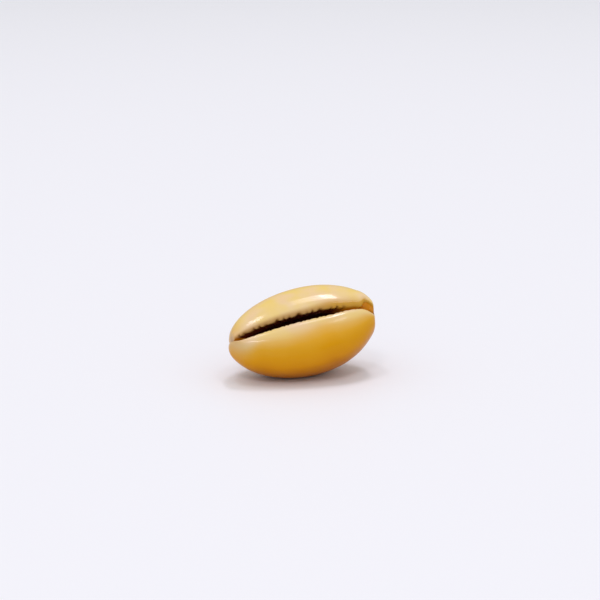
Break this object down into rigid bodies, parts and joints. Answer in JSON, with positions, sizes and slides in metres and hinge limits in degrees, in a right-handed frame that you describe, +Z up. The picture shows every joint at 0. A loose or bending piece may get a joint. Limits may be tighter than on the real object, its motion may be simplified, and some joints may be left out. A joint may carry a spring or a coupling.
{
  "type": "cowrie shell",
  "caption": "Small glossy cowrie shell lying on its rounded back, with the toothed slit between its thick lips turned up and to one side; hollow inside.",
  "frame": {"origin": "centre of the bounding box in plan, on the plane the shell rests on", "axes": "+X along the shell to its broad rear end, +Z up, the slit faces up and towards -Y"},
  "size_m": [0.0278, 0.0164, 0.0159],
  "materials": {
    "shell": "gloss"
  },
  "bodies": {
    "root": {"shell": "shell"}
  },
  "joints": []
}
